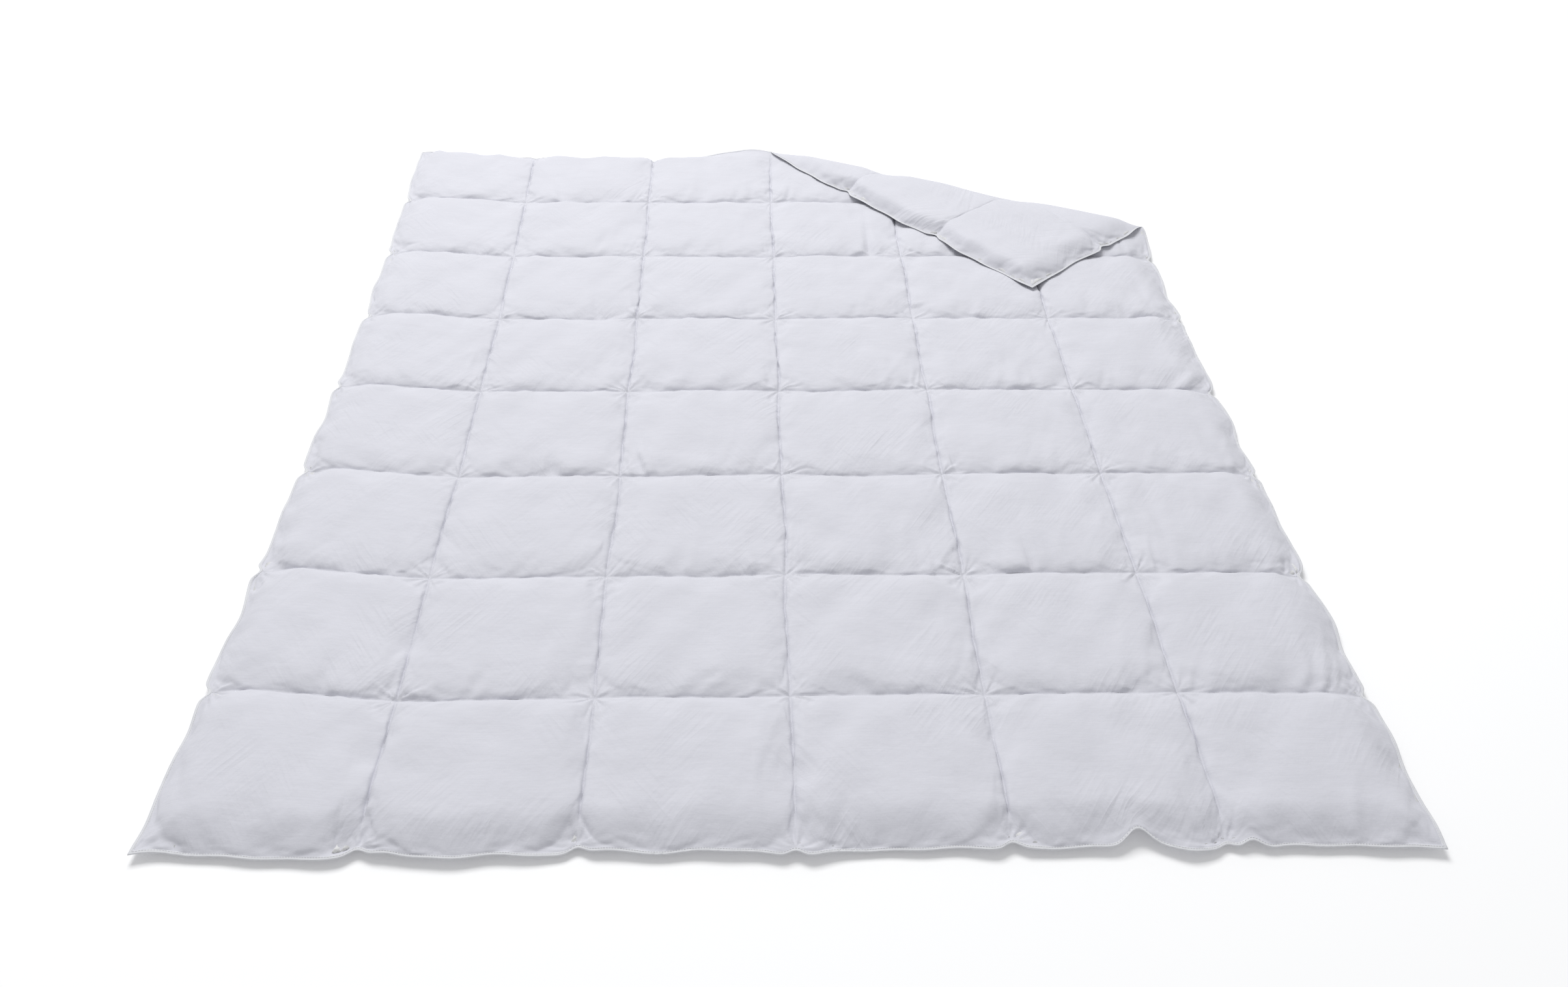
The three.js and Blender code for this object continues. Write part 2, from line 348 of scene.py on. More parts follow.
def rim_height(x, y):
    """How high the sewn edge of the flat duvet lies, or would lie, beside a place."""
    hangs = smooth(past_fold(x, y) / HANG_REACH)
    lift = RIM_LIFT * (1 + waves(x + 1.7 * y, 5, 5, 0.12, 0.6)) * (1 - 0.6 * hangs)
    kinks = sum(high * np.exp(-(((x - at) / wide) ** 2)) for at, wide, _, high in KINKS)
    return EDGE_Z + lift + DROOP * hangs + kinks * smooth((-QUILT_Y + RUMPLED_REACH - y) / RUMPLED_REACH)


# The two sheets lie this far over and under the middle of the edge. Where nothing presses the
# underside's seams flat, they spring out by SPRING.
RIM_HALF = 0.0006
SPRING, SPRING_REACH = 0.004, 0.10


def seam_top(x, y):
    rim = rim_height(x, y) + RIM_HALF
    return rim + (SEAM_TOP - rim) * smooth(to_edge(x, y) / RIM_REACH)


def seam_under(x, y):
    """The underside's seams. Where the corner is turned over, nothing presses them flat."""
    rim = rim_height(x, y) - RIM_HALF
    seam = SEAM_UNDER + SPRING * smooth(past_fold(x, y) / SPRING_REACH)
    return rim + (seam - rim) * smooth(to_edge(x, y) / RIM_REACH)


def from_inner_seam(place, half, box, count):
    return place + half - box * np.clip(np.round((place + half) / box), 1, count - 1)


# Neighbouring boxes swell against each other, so a seam is a narrow cleft between two domes.
# SHOULDER is the share of a box's height that it has beside its seams, and DOME is the puff at
# which the rest is nearly reached.
DOME, SHOULDER, SHOULDER_REACH = 0.033, 0.45, 0.075
CLEFT_LENGTHWISE, CLEFT_CROSSWISE = 0.0024, 0.0070
DEEP_LENGTHWISE, DEEP_CROSSWISE = 0.8, 0.6
CLEAR = 0.0003
cleft_x = np.exp(-np.abs(from_inner_seam(flat_x, QUILT_X, BOX_X, COLUMNS)) / CLEFT_LENGTHWISE)
cleft_x *= smooth((flat_y + QUILT_Y - FILLING_GAP + 0.01) / 0.03)
cleft_y = np.exp(-np.abs(from_inner_seam(flat_y, QUILT_Y, BOX_Y, ROWS)) / CLEFT_CROSSWISE)
shoulder = (1 - DEEP_LENGTHWISE * cleft_x) * (1 - DEEP_CROSSWISE * cleft_y)
shoulder *= smooth(to_edge(flat_x, flat_y) / SHOULDER_REACH)
plump = SHOULDER * shoulder + (1 - SHOULDER) * np.tanh(np.maximum(puff, 0) / DOME) * unevenness

# The down lies a little lumpy: low swells of many lengths, in all directions.
SWELLS, SWELL_HEIGHT = 26, 0.0034
lumps = np.zeros_like(flat_x)
draw = np.random.default_rng(77)
for _ in range(SWELLS):
    heading, span = draw.uniform(0, math.pi), draw.uniform(0.05, 0.22)
    phase = draw.uniform(0, 2 * math.pi)
    run = flat_x * math.cos(heading) + flat_y * math.sin(heading)
    lumps += span * np.sin(2 * math.pi * run / span + phase)
lumps *= SWELL_HEIGHT * shoulder
relief = relief + lumps

# The highest puckers round off towards the top instead of standing past it.
SOFT_LIMIT = 0.003
seam_level, highest = seam_top(flat_x, flat_y), BOX_TOP - CLEAR
top_z = seam_level + (highest - 0.001 - seam_level) * plump + relief
over = top_z - highest + SOFT_LIMIT
rounded_off = highest - SOFT_LIMIT * np.exp(-np.maximum(over, 0) / SOFT_LIMIT)
top_z = np.where(over > 0, rounded_off, top_z)

# The underside is pressed flat where it lies, and domed where the corner is turned over.
DOMED_UNDER = 0.003
hanging = smooth(past_fold(flat_x, flat_y) / SPRING_REACH)
plump_under = plump[::-1]
crown_level = CLEAR + DOMED_UNDER * hanging
under_z = seam_under(flat_x, flat_y)
under_z = crown_level + (under_z - crown_level) * np.clip(1 - 1.1 * plump_under, 0, 1)
under_z = np.maximum(under_z - relief[::-1] * (0.4 - 0.4 * plump_under + 0.6 * hanging), CLEAR)

# The quilting draws the cloth in, so the sides bow and tuck in at each seam's end.
SIDE_BOW, END_BOW, TUCK, TUCK_REACH = 0.014, 0.010, 0.011, 0.12
TUCK_SIDE_WIDTH, TUCK_END_WIDTH = 0.013, 0.015
WAVER, EDGE_WAVER = 0.003, 0.003

# It was pulled straight by its far left corner, so that side is drawn out and away.
PULLED_OUT, PULLED_AWAY, PULLED_FROM = 0.026, 0.036, 0.62


def drawn_in(x, y):
    """Where the quilting draws a place of the flat cloth to, seen from above."""
    side, end = x / QUILT_X, y / QUILT_Y
    tuck_side = np.exp(-((from_inner_seam(y, QUILT_Y, BOX_Y, ROWS) / TUCK_SIDE_WIDTH) ** 2))
    tuck_end = np.exp(-((from_inner_seam(x, QUILT_X, BOX_X, COLUMNS) / TUCK_END_WIDTH) ** 2))
    by_side = smooth(1 - (QUILT_X - np.abs(x)) / TUCK_REACH)
    by_end = smooth(1 - (QUILT_Y - np.abs(y)) / TUCK_REACH)
    middle = np.clip(1 - side**2, 0, 1) * np.clip(1 - end**2, 0, 1)
    new_x = x - SIDE_BOW * (1 - end**2) * side * np.abs(side)
    new_x = new_x - TUCK * tuck_side * by_side * np.sign(x)
    new_x = new_x - PULLED_OUT * smooth(-side) * np.clip(end, 0, 1) ** 1.5
    pulled = smooth((-side - PULLED_FROM) / (1 - PULLED_FROM))
    new_y = y + PULLED_AWAY * pulled * (0.5 + 0.5 * smooth((end + 1) / 0.2))
    rumpled = smooth((-QUILT_Y + RUMPLED_REACH - y) / RUMPLED_REACH)
    for at, wide, deep, _ in KINKS:
        new_y = new_y + deep * np.exp(-(((x - at) / wide) ** 2)) * rumpled
    bowed = END_BOW * (1 - side**2) * np.minimum(end, 0) ** 2
    new_y = new_y + bowed - TUCK * tuck_end * by_end * np.sign(y)
    new_x = new_x + WAVER * (waves(y + 0.3 * x, 31, 4, 0.25, 0.8) * middle)
    new_x = new_x + EDGE_WAVER * waves(y, 32, 5, 0.1, 0.4) * by_side
    new_y = new_y + WAVER * (waves(x + 0.3 * y, 33, 4, 0.25, 0.8) * middle)
    new_y = new_y + EDGE_WAVER * waves(x, 34, 5, 0.1, 0.4) * by_end
    return new_x, new_y


# Near the fold all layers press together over FOLD_REACH, and the outer cloth rounds over them.
# The turned corner's own weight settles it to a share of its height.
FOLD_REACH, FOLD_OUT = 0.10, 0.0005
SETTLED = 0.72
# Boxes keep their fullness closer to the fold than the seams between them do.
PRESSED_SEAM, PRESSED_LESS, FULL_FROM_SEAM = 1.7, 0.9, 0.07


def folded(points, turned):
    """Drawn-in points of the flat duvet, laid in the fold. The corner's are turned over it too."""
    off = -np.abs(past_fold(points[:, 0], points[:, 1]))
    run = (points[:, 0] - FOLD_POINT[0]) * ALONG[0] + (points[:, 1] - FOLD_POINT[1]) * ALONG[1]
    into = np.clip((off + FOLD_REACH) / FOLD_REACH, 0, 1)
    lift = 1 - points[:, 2] / FOLD_POINT[2]
    fold_x, fold_y = FOLD_POINT[0] + run * ALONG[0], FOLD_POINT[1] + run * ALONG[1]
    seam_away = np.minimum(from_seam(fold_x, QUILT_X, BOX_X), from_seam(fold_y, QUILT_Y, BOX_Y))
    full = smooth(seam_away / FULL_FROM_SEAM)
    pressed = np.cos(into * math.pi / 2) ** (PRESSED_SEAM - PRESSED_LESS * full)
    pressed = pressed * (SETTLED if turned else 1)
    rounded_over = (FOLD_REACH + FOLD_OUT * (1 + full)) * np.sin(into * math.pi / 2)
    off = off + lift * (rounded_over - FOLD_REACH * into)
    depth = lift * FOLD_POINT[2] * pressed
    z = FOLD_POINT[2] + (depth if turned else -depth)
    at_x = FOLD_POINT[0] + run * ALONG[0] + off * OUTWARD[0]
    at_y = FOLD_POINT[1] + run * ALONG[1] + off * OUTWARD[1]
    return np.stack([at_x, at_y, z], -1)


def laid(name, points, faces, turned, gap=0.0, capped=False):
    """A piece made flat, drawn in, cut off along the fold, and laid on its side of it."""
    piece = new_mesh(name, points, faces)
    flat = piece.data.uv_layers.new(name="cloth")
    loops = np.asarray(faces).ravel()
    flat.uv.foreach_set("vector", np.asarray(points[loops, :2], np.float32).ravel())
    x, y = drawn_in(points[:, 0], points[:, 1])
    set_points(piece, np.stack([x, y, points[:, 2]], -1))
    work = bmesh.new()
    work.from_mesh(piece.data)
    at = FOLD_POINT + OUTWARD * (gap if turned else -gap)
    parts = work.verts[:] + work.edges[:] + work.faces[:]
    side = {"clear_inner": turned, "clear_outer": not turned}
    bmesh.ops.bisect_plane(work, geom=parts, dist=1e-6, plane_co=at, plane_no=OUTWARD, **side)
    if capped:
        rim = [edge for edge in work.edges if edge.is_boundary]
        bmesh.ops.holes_fill(work, edges=rim, sides=0)
    work.to_mesh(piece.data)
    work.free()
    set_points(piece, folded(points_of(piece), turned))
    piece.data.shade_smooth()
    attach(piece, "turned_corner" if turned else "quilt")
    return piece


def node_group(name, ins, outs):
    """An empty shader node group with these named float or vector sockets."""
    group = bpy.data.node_groups.new(name, "ShaderNodeTree")
    for label, kind, value in ins:
        socket = group.interface.new_socket(name=label, in_out="INPUT", socket_type=kind)
        if value is not None:
            socket.default_value = value
    for label, kind in outs:
        group.interface.new_socket(name=label, in_out="OUTPUT", socket_type=kind)
    return group, group.nodes.new("NodeGroupInput"), group.nodes.new("NodeGroupOutput")


def node(tree, kind, values=None, **settings):
    made = tree.nodes.new("ShaderNode" + kind)
    for setting, value in settings.items():
        setattr(made, setting, value)
    for socket, value in (values or {}).items():
        made.inputs[socket].default_value = value
    return made


FLOAT, VECTOR = "NodeSocketFloat", "NodeSocketVector"


def stretched_noise(tree, where, scale, size, detail, rough=0.5):
    """Noise drawn out along X or Y: scale is how many times a metre it changes along each."""
    spread = node(tree, "Mapping", {"Scale": scale})
    noise = node(tree, "TexNoise", {"Scale": size, "Detail": detail, "Roughness": rough})
    tree.links.new(where, spread.inputs["Vector"])
    tree.links.new(spread.outputs["Vector"], noise.inputs["Vector"])
    return noise.outputs["Fac"]


def mixed(tree, operation, first, second=None, third=None):
    """A Math node on sockets or plain numbers."""
    math_node = node(tree, "Math", operation=operation)
    for slot_number, value in enumerate((first, second, third)):
        if value is None:
            continue
        if isinstance(value, (int, float)):
            math_node.inputs[slot_number].default_value = value
        else:
            tree.links.new(value, math_node.inputs[slot_number])
    return math_node.outputs["Value"]


# Plain weave with the odd thicker thread, as a tint, a roughness and a height in metres.
weave, weave_in, weave_out = node_group(
    "batiste_weave",
    [("Place", VECTOR, None), ("Thread", FLOAT, 0.0005), ("Slubs", FLOAT, 1.0), ("Rough", FLOAT, 0.8)],
    [("Tint", FLOAT), ("Roughness", FLOAT), ("Height", FLOAT)],
)
turns = mixed(weave, "DIVIDE", 2 * math.pi, weave_in.outputs["Thread"])
apart = node(weave, "SeparateXYZ")
weave.links.new(weave_in.outputs["Place"], apart.inputs["Vector"])
over = mixed(weave, "SINE", mixed(weave, "MULTIPLY", apart.outputs["X"], turns))
under = mixed(weave, "SINE", mixed(weave, "MULTIPLY", apart.outputs["Y"], turns))
crossing = mixed(weave, "MULTIPLY", over, under)
weft = stretched_noise(weave, weave_in.outputs["Place"], (11, 620, 1), 1.0, 2)
warp = stretched_noise(weave, weave_in.outputs["Place"], (700, 14, 1), 1.0, 2)
cloudy = stretched_noise(weave, weave_in.outputs["Place"], (9, 11, 1), 1.0, 3, 0.6)
thick_warp = mixed(weave, "MULTIPLY", mixed(weave, "SUBTRACT", warp, 0.5), 0.25)
slubs = mixed(weave, "ADD", mixed(weave, "SUBTRACT", weft, 0.5), thick_warp)
slubs = mixed(weave, "MULTIPLY", slubs, weave_in.outputs["Slubs"])
SLUB_TINT, CLOUD_TINT, SLUB_ROUGHNESS = 0.10, 0.09, 0.10
tint = mixed(weave, "MULTIPLY_ADD", slubs, SLUB_TINT, 1.0)
tint = mixed(weave, "MULTIPLY_ADD", mixed(weave, "SUBTRACT", cloudy, 0.5), CLOUD_TINT, tint)
rough = mixed(weave, "MULTIPLY_ADD", slubs, SLUB_ROUGHNESS, weave_in.outputs["Rough"])

# Heights in metres: of a slub, of one thread over another, of soft crumpling, and of the fine
# creases that lean both ways in patches.
SLUB_HEIGHT, THREAD_HEIGHT, CRUMPLE_HEIGHT, CREASE_DEPTH = 0.00010, 0.00002, 0.0026, -0.026
threads = mixed(weave, "MULTIPLY", crossing, THREAD_HEIGHT)
height = mixed(weave, "MULTIPLY_ADD", slubs, SLUB_HEIGHT, threads)
crumple = stretched_noise(weave, weave_in.outputs["Place"], (34, 46, 1), 1.0, 4, 0.55)
height = mixed(weave, "MULTIPLY_ADD", crumple, CRUMPLE_HEIGHT, height)
for lean, offset in ((0.62, 0.0), (-0.62, 7.3)):
    leaned = node(weave, "Mapping", {"Rotation": (0, 0, lean), "Location": (offset, offset, 0)})
    weave.links.new(weave_in.outputs["Place"], leaned.inputs["Vector"])
    folds = stretched_noise(weave, leaned.outputs["Vector"], (58, 7, 1), 1.0, 2, 0.4)
    patches = stretched_noise(weave, leaned.outputs["Vector"], (5, 6, 1), 1.0, 1)
    sharp = mixed(weave, "ABSOLUTE", mixed(weave, "SUBTRACT", folds, 0.5))
    patches = mixed(weave, "MAXIMUM", mixed(weave, "SUBTRACT", patches, 0.45), 0.0)
    creased = mixed(weave, "MULTIPLY", sharp, patches)
    height = mixed(weave, "MULTIPLY_ADD", creased, CREASE_DEPTH, height)
weave.links.new(tint, weave_out.inputs["Tint"])
weave.links.new(rough, weave_out.inputs["Roughness"])
weave.links.new(height, weave_out.inputs["Height"])


def woven(name, colour, thread, slubs, roughness, sheen, bump):
    """A cotton material: its weave is drawn on the flat cloth before it is sewn and folded."""
    material = bpy.data.materials.new(name)
    material.use_nodes = True
    tree = material.node_tree
    shader = tree.nodes["Principled BSDF"]
    shader.inputs["Sheen Weight"].default_value = sheen
    shader.inputs["Sheen Roughness"].default_value = 0.5
    shader.inputs["Specular IOR Level"].default_value = 0.25
    where = node(tree, "UVMap", uv_map="cloth")
    cloth = node(tree, "Group", node_tree=weave)
    cloth.inputs["Thread"].default_value = thread
    cloth.inputs["Slubs"].default_value = slubs
    cloth.inputs["Rough"].default_value = roughness
    tree.links.new(where.outputs["UV"], cloth.inputs["Place"])
    dyed = node(tree, "Mix", data_type="RGBA", blend_type="MULTIPLY", clamp_result=True)
    dyed.inputs["Factor"].default_value = 1.0
    dyed.inputs["A"].default_value = (*colour, 1)
    tree.links.new(cloth.outputs["Tint"], dyed.inputs["B"])
    tree.links.new(dyed.outputs["Result"], shader.inputs["Base Color"])
    tree.links.new(cloth.outputs["Roughness"], shader.inputs["Roughness"])
    raised = node(tree, "Bump", {"Strength": bump, "Distance": 1.0})
    tree.links.new(cloth.outputs["Height"], raised.inputs["Height"])
    tree.links.new(raised.outputs["Normal"], shader.inputs["Normal"])
    return material


BATISTE = woven("downproof_batiste", (0.665, 0.666, 0.717), 0.0005, 1.0, 0.78, 0.12, 0.6)
sheets = {
    "ticking_top": (flat_x + drift_x, flat_y + drift_y, top_z, grid_faces(nx, ny)),
    "ticking_underside": (
        flat_x - drift_x[::-1], flat_y + drift_y[::-1], under_z, grid_faces(nx, ny)[:, ::-1]
    ),
}
# The fold cuts a triangle with these two sides off the flat cloth.
for name, (sheet_x, sheet_y, sheet_z, faces) in sheets.items():
    points = np.stack([sheet_x, sheet_y, sheet_z], -1).reshape(-1, 3)
    replaced = "top_ticking" if name == "ticking_top" else "bottom_ticking"
    for turned in (False, True):
        cloth = laid("corner_" + name if turned else name, points, faces, turned)
        cloth.data.materials.append(BATISTE)
        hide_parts("corner_" + replaced if turned else replaced)

# --- Baffles --------------------------------------------------------------------------------
# Strips of cotton tape stand on edge between the two sheets, five down the duvet and seven
# across it, and keep each box of down to itself. Each is sewn to both sheets along a seam.

TAPE_THICKNESS, TAPE_CLEAR, TAPE_WAVE = 0.0005, 0.0004, 0.0012
TAPE_SETBACK = 0.035
TAPE_LEVELS, TAPE_STEP = 5, 0.012
TAPE_FROM_FOLD = 0.012
tape_material = woven("baffle_tape", (0.70, 0.70, 0.70), 0.0009, 0.6, 0.85, 0.05, 0.8)


def tube(rings):
    """Points and faces of a closed solid through rings of points, with a flat fan at each end."""
    count, sides = rings.shape[:2]
    index = np.arange(count * sides).reshape(count, sides)
    following = np.roll(index, -1, axis=1)
    walls = np.stack([index[:-1], following[:-1], following[1:], index[1:]], -1).reshape(-1, 4)
    half = sides // 2
    ladder = [[k, k + 1, sides - 2 - k, sides - 1 - k] for k in range(half - 1)]
    start, end = np.array(ladder)[:, ::-1], np.array(ladder) + (count - 1) * sides
    return rings.reshape(-1, 3), np.concatenate([walls, start, end])


def tape(place, lengthwise, seed):
    """A baffle along a seam: an upright ribbon, a little wavy between its two lines of stitching."""
    half = (QUILT_Y if lengthwise else QUILT_X) - TAPE_SETBACK
    run = np.linspace(-half, half, int(2 * half / TAPE_STEP))
    x, y = (np.full_like(run, place), run) if lengthwise else (run, np.full_like(run, place))
    low, high = seam_under(x, y) + TAPE_CLEAR, seam_top(x, y) - TAPE_CLEAR
    level = np.linspace(0, 1, TAPE_LEVELS)
    z = low[:, None] + (high - low)[:, None] * level
    bulge = TAPE_WAVE * waves(run, seed, 5, 0.03, 0.12)[:, None] * np.sin(math.pi * level)
    sides = [bulge - TAPE_THICKNESS / 2, bulge[:, ::-1] + TAPE_THICKNESS / 2]
    offset, z = np.concatenate(sides, 1), np.concatenate([z, z[:, ::-1]], 1)
    if lengthwise:
        return np.stack([x[:, None] + offset, np.broadcast_to(y[:, None], z.shape), z], -1)
    return np.stack([np.broadcast_to(x[:, None], z.shape), y[:, None] - offset, z], -1)


seams = [(BOX_X * k - QUILT_X, True, f"baffle_lengthwise_{k}") for k in range(1, COLUMNS)]
seams += [(BOX_Y * k - QUILT_Y, False, f"baffle_crosswise_{k}") for k in range(1, ROWS)]
for number, (place, lengthwise, name) in enumerate(seams):
    points, faces = tube(tape(place, lengthwise, 400 + number))
    for turned in (False, True):
        own_name = "corner_" + name if turned else name
        strip = laid(own_name, points, faces, turned, TAPE_FROM_FOLD, True)
        if not strip.data.polygons:
            bpy.data.objects.remove(strip)
            continue
        strip.data.materials.append(tape_material)
        if turned:
            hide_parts("corner_baffle_grid_1", "corner_baffle_grid_2")
        else:
            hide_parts("baffle_grid")

# --- Down -----------------------------------------------------------------------------------
# Each box holds its own cluster of white down and small feathers, blown in loose. It fills the
# box out to the cloth, so it is a soft lump a little smaller than the box.

FILL_GAP, FILL_THINNEST, FILL_FROM_FOLD = 0.0012, 0.0004, 0.015
# A cluster takes every fourth point of the cloth, starting three points in from the seam.
FILL_STEP, FILL_START = 4, 3
down = bpy.data.materials.new("white_down")
down.use_nodes = True
down_shader = down.node_tree.nodes["Principled BSDF"]
down_shader.inputs["Sheen Weight"].default_value = 0.3
down_place = node(down.node_tree, "TexCoord")
tufts = stretched_noise(down.node_tree, down_place.outputs["Object"], (1, 1, 1), 60, 6, 0.7)
down_colour = node(down.node_tree, "MapRange", {"To Min": 0.68, "To Max": 0.86})
down.node_tree.links.new(tufts, down_colour.inputs["Value"])
down.node_tree.links.new(down_colour.outputs["Result"], down_shader.inputs["Base Color"])
down_rough = mixed(down.node_tree, "MULTIPLY_ADD", tufts, 0.2, 0.8)
down.node_tree.links.new(down_rough, down_shader.inputs["Roughness"])
down_bump = node(down.node_tree, "Bump", {"Strength": 0.8, "Distance": 0.004})
down.node_tree.links.new(tufts, down_bump.inputs["Height"])
down.node_tree.links.new(down_bump.outputs["Normal"], down_shader.inputs["Normal"])


def lowest_near(heights, reach):
    """The lowest height within that many points of each, along both directions of the cloth."""
    for _ in (0, 1):
        wider = np.pad(heights, ((reach, reach), (0, 0)), "edge")
        lowest = np.min([wider[step:len(heights) + step] for step in range(2 * reach + 1)], axis=0)
        heights = lowest.T
    return heights


fill_top = lowest_near(top_z, FILL_STEP) - FILL_GAP
fill_under = -lowest_near(-under_z, FILL_STEP) + FILL_GAP


def cluster(column, row):
    """A box's down, as points and faces: the inside of its two sheets with a small gap."""
    i = np.arange(2 * STEPS_X * column + FILL_START, 2 * STEPS_X * (column + 1), FILL_STEP)
    j = np.arange(2 * STEPS_Y * row + FILL_START, 2 * STEPS_Y * (row + 1), FILL_STEP)
    cells = np.ix_(i, j)
    x, y = flat_x[cells], flat_y[cells]
    middle = (top_z[cells] + under_z[cells]) / 2
    thin = fill_top[cells] - fill_under[cells] < 2 * FILL_THINNEST
    upper = np.where(thin, middle + FILL_THINNEST, fill_top[cells])
    lower = np.where(thin, middle - FILL_THINNEST, fill_under[cells])
    top = np.stack([x, y, upper], -1).reshape(-1, 3)
    bottom = np.stack([x, y, lower], -1).reshape(-1, 3)
    across_i, across_j = len(i), len(j)
    cover = grid_faces(across_i, across_j)
    index = np.arange(across_i * across_j).reshape(across_i, across_j)
    rim = np.concatenate([index[:-1, 0], index[-1, :-1], index[:0:-1, -1], index[0, :0:-1]])
    onward = np.roll(rim, -1)
    walls = np.stack([rim + len(top), onward + len(top), onward, rim], -1)
    faces = np.concatenate([cover, cover[:, ::-1] + len(top), walls])
    return np.concatenate([top, bottom]), faces


for column in range(COLUMNS):
    for row in range(ROWS):
        points, faces = cluster(column, row)
        for turned in (False, True):
            solid = ("corner_" if turned else "") + f"fill_row{row + 1}_col{column + 1}"
            if solid not in frame["nodes"]:
                continue
            own_name = solid.replace("fill", "down")
            lump = laid(own_name, points, faces, turned, FILL_FROM_FOLD, True)
            lump.data.materials.append(down)
            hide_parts(solid)

# --- Edge binding ---------------------------------------------------------------------------
# The two sheets are closed all round with a narrow folded cotton strip. It stands just past
# the quilting as a flat, slightly hard rim, with one line of stitching.

BINDING_HALF_WIDTH, BINDING_HALF_THICKNESS = 0.0033, 0.0011
BINDING_STEP, BINDING_SIDES = 0.006, 8
# Below 1 the strip's section is squarer than an ellipse.
BINDING_ROUNDNESS = 0.7
binding_material = woven("cotton_binding", (0.71, 0.715, 0.74), 0.0008, 0.5, 0.7, 0.10, 0.8)


def perimeter(half_x, half_y, step):
    """Places round the duvet at these half sizes, and which way is outward at each."""
    nx_side, ny_side = round(2 * half_x / step), round(2 * half_y / step)
    places, outward = [], []
    walk = [(-1, -1, 1, 0), (1, -1, 0, 1), (1, 1, -1, 0), (-1, 1, 0, -1)]
    for from_x, from_y, go_x, go_y in walk:
        count = nx_side if go_x else ny_side
        share = np.arange(count)[:, None] / count * 2
        start = np.array([from_x, from_y])
        places.append((start + share * (go_x, go_y)) * (half_x, half_y))
        side = np.tile((float(go_y), -float(go_x)), (count, 1))
        side[0] = from_x, from_y
        outward.append(side)
    return np.concatenate(places), np.concatenate(outward)


def loop_of(rings):
    """Points and faces of a ring-shaped solid through closed rings of points."""
    count, sides = rings.shape[:2]
    index = np.arange(count * sides).reshape(count, sides)
    onward, following = np.roll(index, -1, axis=1), np.roll(index, -1, axis=0)
    faces = np.stack([index, onward, np.roll(following, -1, axis=1), following], -1)
    return rings.reshape(-1, 3), faces.reshape(-1, 4)


middle_x, middle_y = WIDTH / 2 - BINDING_HALF_WIDTH, LENGTH / 2 - BINDING_HALF_WIDTH
edge_places, edge_outward = perimeter(middle_x, middle_y, BINDING_STEP)
turn = (np.arange(BINDING_SIDES) + 0.5) * 2 * math.pi / BINDING_SIDES
flat_section = np.stack([np.cos(turn), np.sin(turn)], -1)
flat_section = np.sign(flat_section) * np.abs(flat_section) ** BINDING_ROUNDNESS
edge_z = rim_height(edge_places[:, 0], edge_places[:, 1])
section_out = edge_outward[:, None, :] * (flat_section[:, 0] * BINDING_HALF_WIDTH)[None, :, None]
section_up = edge_z[:, None] + flat_section[:, 1] * BINDING_HALF_THICKNESS
rings = np.concatenate([edge_places[:, None, :] + section_out, section_up[..., None]], -1)
points, faces = loop_of(rings)
for turned in (False, True):
    binding = laid("corner_binding" if turned else "binding", points, faces, turned, 0, True)
    binding.data.materials.append(binding_material)
    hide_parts("corner_edge_welt" if turned else "edge_welt")

# --- Stitching ------------------------------------------------------------------------------
# White cotton lockstitch: one line on each sheet along every seam, and one along the binding.
# Each stitch is its own short, slightly sunk loop of thread.

STITCH_PITCH, STITCH_LENGTH, THREAD = 0.0042, 0.0034, 0.00035
# A stitch's own shape: places along it and its thickness there. It dips into the cloth at its ends.
STITCH_PLACES, STITCH_THICKNESS = (-0.5, -0.36, 0.36, 0.5), (0.25, 1, 1, 0.25)
STITCH_FROM_FOLD = 0.004
thread_material = woven("sewing_thread", (0.66, 0.66, 0.68), 0.0007, 0.3, 0.6, 0.2, 0.5)


def stitch_line(start, end, height, upward):
    """Centres, directions and heights of the stitches along a straight flat line."""
    start, end = np.array(start), np.array(end)
    span = np.linalg.norm(end - start)
    count = int(span / STITCH_PITCH)
    share = (np.arange(count) + 0.5) / count
    centres = start + share[:, None] * (end - start)
    z = height(centres[:, 0], centres[:, 1]) + upward * THREAD * 0.5
    return centres, np.tile((end - start) / span, (count, 1)), z


def stitches(lines):
    """Points and faces of all the stitches in these lines."""
    centres, ways, z = (np.concatenate(part) for part in zip(*lines))
    sideways = np.stack([-ways[:, 1], ways[:, 0]], -1)
    along_thread = np.array(STITCH_PLACES) * STITCH_LENGTH
    width = np.array(STITCH_THICKNESS) * THREAD
    around = np.arange(4) * math.pi / 2 + math.pi / 4
    side, up = np.cos(around), np.sin(around)
    flat = centres[:, None, None] + along_thread[None, :, None, None] * ways[:, None, None]
    flat = flat + (width[:, None] * side)[None, ..., None] * sideways[:, None, None]
    height = z[:, None, None] + (width[:, None] * up)[None]
    points = np.concatenate([flat, height[..., None]], -1)
    first = np.arange(4)
    onward = np.roll(first, -1)
    band = np.stack([first, onward, onward + 4, first + 4], -1)
    ends = np.array([[3, 2, 1, 0], [12, 13, 14, 15]])
    one = np.concatenate([band, band + 4, band + 8, ends])
    faces = one[None] + 16 * np.arange(len(points))[:, None, None]
    return points.reshape(-1, 3), faces.reshape(-1, 4), centres


seam_ends = []
for k in range(1, COLUMNS):
    seam_x = BOX_X * k - QUILT_X
    seam_ends.append(((seam_x, -QUILT_Y + FILLING_GAP), (seam_x, QUILT_Y)))
for k in range(1, ROWS):
    seam_y = BOX_Y * k - QUILT_Y
    seam_ends.append(((-QUILT_X, seam_y), (QUILT_X, seam_y)))
IN_FROM_RIM = 1.4 * BINDING_HALF_WIDTH
edge_x, edge_y = WIDTH / 2 - IN_FROM_RIM, LENGTH / 2 - IN_FROM_RIM
corners = [(-edge_x, -edge_y), (edge_x, -edge_y), (edge_x, edge_y), (-edge_x, edge_y)]
rims = list(zip(corners, corners[1:] + corners[:1]))


def rim_top(x, y):
    return rim_height(x, y) + BINDING_HALF_THICKNESS


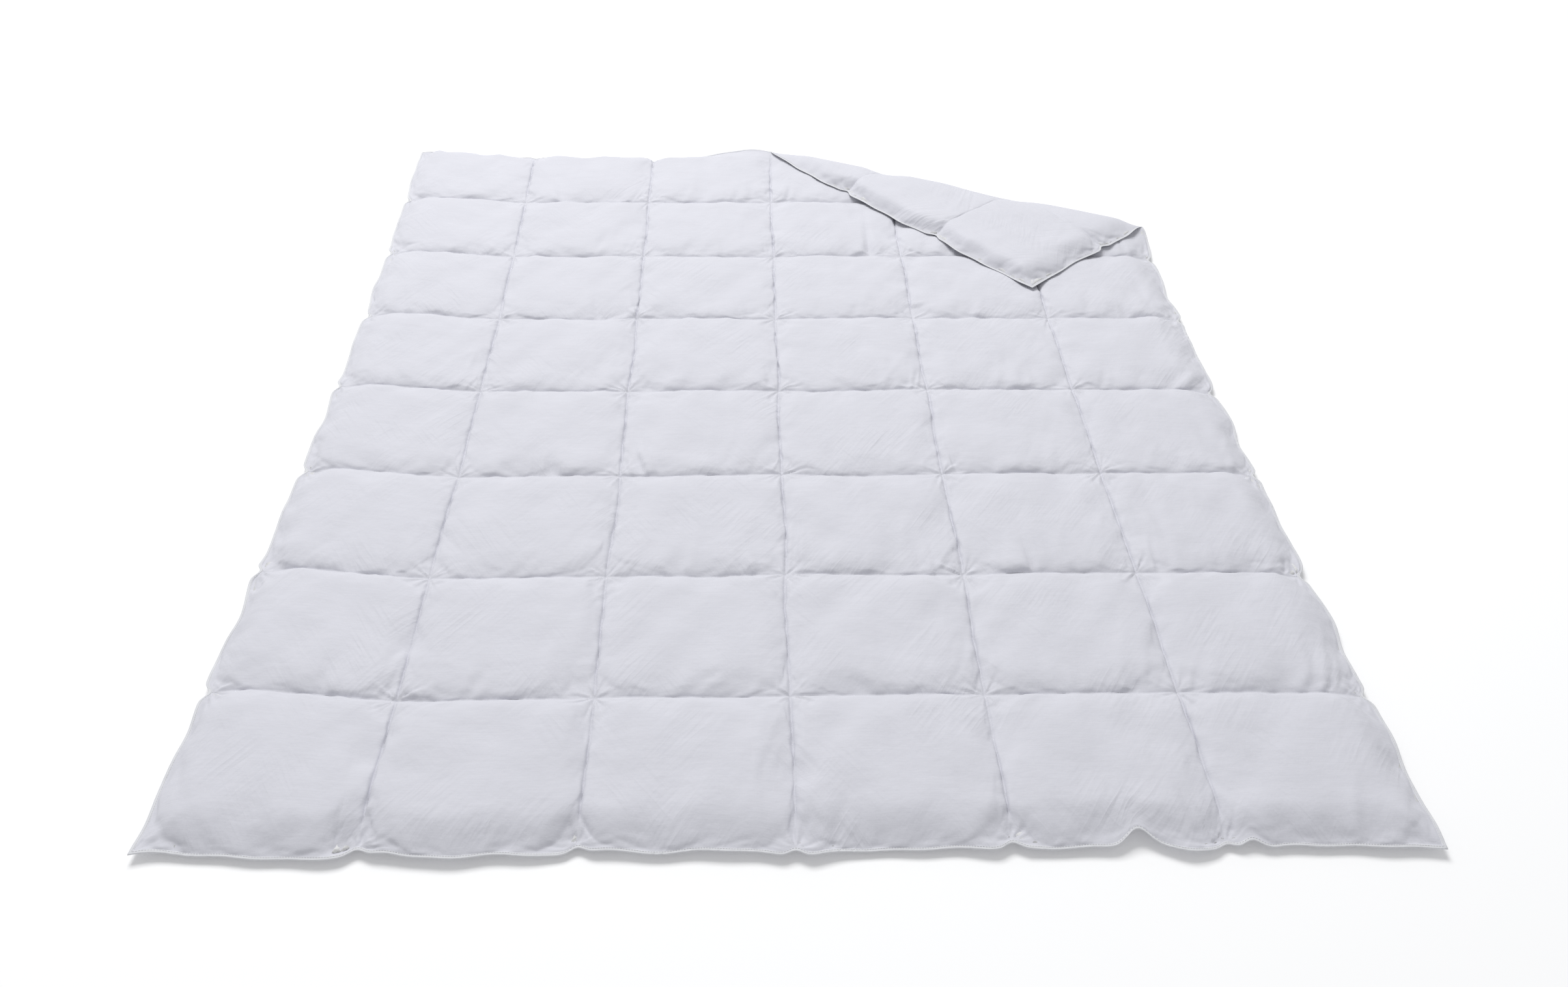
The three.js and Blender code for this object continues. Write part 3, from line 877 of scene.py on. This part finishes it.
def rim_under(x, y):
    return rim_height(x, y) - BINDING_HALF_THICKNESS


thread_work = {
    "seam_stitching_top": (seam_ends, seam_top, 1, "ticking"),
    "seam_stitching_underside": (seam_ends, seam_under, -1, "ticking"),
    "binding_stitching_top": (rims, rim_top, 1, "welt"),
    "binding_stitching_underside": (rims, rim_under, -1, "welt"),
}
for name, (ends, height, upward, finish) in thread_work.items():
    points, faces, centres = stitches([stitch_line(*pair, height, upward) for pair in ends])
    drawn = drawn_in(centres[:, 0], centres[:, 1])
    off_fold = past_fold(*drawn)
    for turned in (False, True):
        kept = off_fold > STITCH_FROM_FOLD if turned else off_fold < -STITCH_FROM_FOLD
        chosen = faces.reshape(len(centres), -1, 4)[kept]
        used, renumbered = np.unique(chosen, return_inverse=True)
        own_name = "corner_" + name if turned else name
        thread = laid(own_name, points[used], renumbered.reshape(-1, 4), turned)
        thread.data.materials.append(thread_material)

# --- Floor, light and camera ----------------------------------------------------------------
# A plain white studio floor, one large soft light high beyond the far end, a little to the left,
# and an even white surround.

FLOOR_HALF = 30
floor_corners = np.array([(-1, -1, 0), (1, -1, 0), (1, 1, 0), (-1, 1, 0)]) * FLOOR_HALF
floor = new_mesh("floor", floor_corners, np.array([(0, 1, 2, 3)]))
floor_paint = bpy.data.materials.new("studio_floor")
floor_paint.use_nodes = True
floor_shader = floor_paint.node_tree.nodes["Principled BSDF"]
floor_shader.inputs["Base Color"].default_value = (0.93, 0.93, 0.93, 1)
floor_shader.inputs["Roughness"].default_value = 0.9
floor_shader.inputs["Specular IOR Level"].default_value = 0.0
floor_shader.inputs["Emission Color"].default_value = (1, 1, 1, 1)
floor_shader.inputs["Emission Strength"].default_value = 0.10
floor.data.materials.append(floor_paint)

surround = bpy.data.worlds.new("surround")
scene.world = surround
surround.use_nodes = True
surround.node_tree.nodes["Background"].inputs["Color"].default_value = (0.97, 0.98, 1.0, 1)
surround.node_tree.nodes["Background"].inputs["Strength"].default_value = 0.49

softbox_light = bpy.data.lights.new("softbox", "AREA")
softbox_light.shape = "RECTANGLE"
softbox_light.size, softbox_light.size_y = 4.0, 4.0
softbox_light.energy = 515
softbox = bpy.data.objects.new("softbox", softbox_light)
softbox.location = (-1.4, 4.0, 7.0)
softbox.rotation_euler = (-softbox.location).to_track_quat("-Z", "Y").to_euler()
scene.collection.objects.link(softbox)

scene.view_settings.view_transform = "Standard"

view = bpy.data.cameras.new("camera")
view.sensor_width = 36.0
view.lens = 29.48
view.clip_end = 200
camera = bpy.data.objects.new("camera", view)
forward = Vector((0.02825, 0.76790, -0.63994)).normalized()
right = Vector((0.99958, -0.02584, 0.01311)).normalized()
up = right.cross(forward)
facing = Matrix((right, up, -forward)).transposed().to_4x4()
camera.matrix_world = Matrix.Translation((-0.0696, -2.3368, 1.6761)) @ facing
scene.collection.objects.link(camera)
scene.camera = camera
